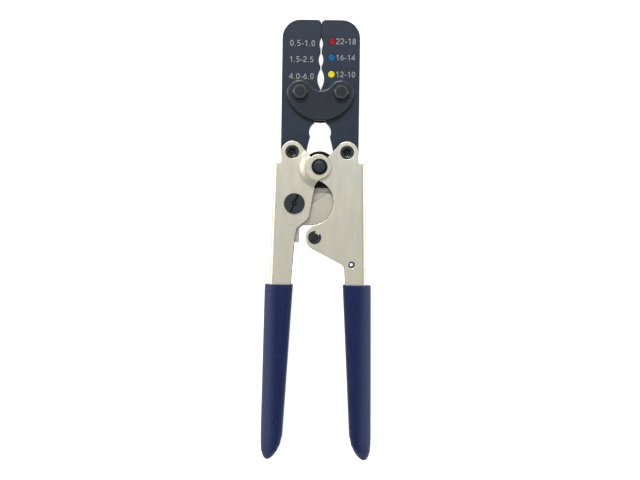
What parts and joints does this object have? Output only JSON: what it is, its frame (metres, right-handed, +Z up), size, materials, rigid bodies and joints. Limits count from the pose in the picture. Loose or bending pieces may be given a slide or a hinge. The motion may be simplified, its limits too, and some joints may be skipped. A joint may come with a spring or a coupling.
{
  "type": "ratchet crimping tool",
  "caption": "Compound-lever hand crimper with crimp nests between two black jaws, a link plate head, plated channel handles with a ratchet, and soft blue grips.",
  "frame": {"origin": "bottom centre of the bounding box, with the closed tool lying on its back", "axes": "+X to the right across the tool seen from the front, +Y from the grips to the jaw tips, +Z up out of the front face"},
  "size_m": [0.0662, 0.2644, 0.0205],
  "materials": {
    "black_oxide": "black oxide, satin",
    "black_fastener": "blackened steel, satin",
    "plated_steel": "zinc plated sheet, satin",
    "bright_steel": "bright steel",
    "spring_steel": "drawn wire",
    "blue_vinyl": "soft vinyl, fine grain",
    "red_enamel": "paint fill",
    "blue_enamel": "paint fill",
    "yellow_enamel": "paint fill"
  },
  "bodies": {
    "head": {"link_plate_front": "black_oxide", "link_plate_rear": "black_oxide", "jaw_bolt_left": "black_fastener", "jaw_bolt_right": "black_fastener", "jaw_nut_left": "black_fastener", "jaw_nut_right": "black_fastener", "jaw_sleeve_left": "bright_steel", "jaw_sleeve_right": "bright_steel"},
    "jaw_left": {"left_jaw": "black_oxide"},
    "jaw_right": {"right_jaw": "black_oxide", "size_dot_red": "red_enamel", "size_dot_blue": "blue_enamel", "size_dot_yellow": "yellow_enamel"},
    "handle_left": {"left_handle": "plated_steel", "left_grip": "blue_vinyl", "left_tail_pin": "black_fastener", "ratchet_sector": "plated_steel", "sector_backing": "plated_steel", "adjuster_clip": "black_fastener", "adjuster_washers": "bright_steel"},
    "handle_right": {"right_handle": "plated_steel", "right_grip": "blue_vinyl", "right_tail_pin": "black_fastener", "center_pin": "black_fastener", "center_ring": "black_fastener", "hub_spacer": "black_fastener", "pawl_pin": "black_fastener", "pawl_clip": "black_fastener", "pawl_spacers": "bright_steel", "spring_anchor": "black_fastener", "pawl_spring": "spring_steel"},
    "adjuster_screw": {"adjuster": "black_fastener"},
    "ratchet_pawl": {"pawl": "bright_steel"}
  },
  "joints": [
    {"name": "right_handle_hinge", "type": "hinge", "parent": "jaw_right", "child": "handle_right", "pos_m": [0.0164, 0.0527, 0.0098], "axis": [0, 0, 1], "range_deg": [0, 29.2]},
    {"name": "left_handle_hinge", "type": "hinge", "parent": "jaw_left", "child": "handle_left", "pos_m": [-0.0164, 0.0527, 0.0098], "axis": [0, 0, 1], "range_deg": [-29.3, 0.1]},
    {"name": "right_jaw_hinge", "type": "hinge", "parent": "head", "child": "jaw_right", "pos_m": [0.01227, 0.08835, 0.0098], "axis": [0, 0, 1], "range_deg": [-7.05, 0.1]},
    {"name": "left_jaw_hinge", "type": "hinge", "parent": "head", "child": "jaw_left", "pos_m": [-0.01227, 0.08835, 0.0098], "axis": [0, 0, 1], "range_deg": [-0.1, 7.05]},
    {"name": "adjuster_turn", "type": "hinge", "parent": "handle_left", "child": "adjuster_screw", "pos_m": [-0.0147, 0.02175, 0.0098], "axis": [0, 0, 1], "range_deg": [-90, 90]},
    {"name": "pawl_tilt", "type": "hinge", "parent": "handle_right", "child": "ratchet_pawl", "pos_m": [-0.0023, 0.00165, 0.0098], "axis": [0, 0, 1], "range_deg": [-25, 0], "stiffness_Nm_per_rad": 0.02, "springref_deg": 17.19, "deforming": ["pawl_spring"]}
  ],
  "couplings": [
    {"joint": "left_handle_hinge", "follows": "right_handle_hinge", "ratio": -1},
    {"joint": "right_jaw_hinge", "follows": "right_handle_hinge", "ratio": -0.2398},
    {"joint": "left_jaw_hinge", "follows": "right_handle_hinge", "ratio": 0.2398}
  ]
}
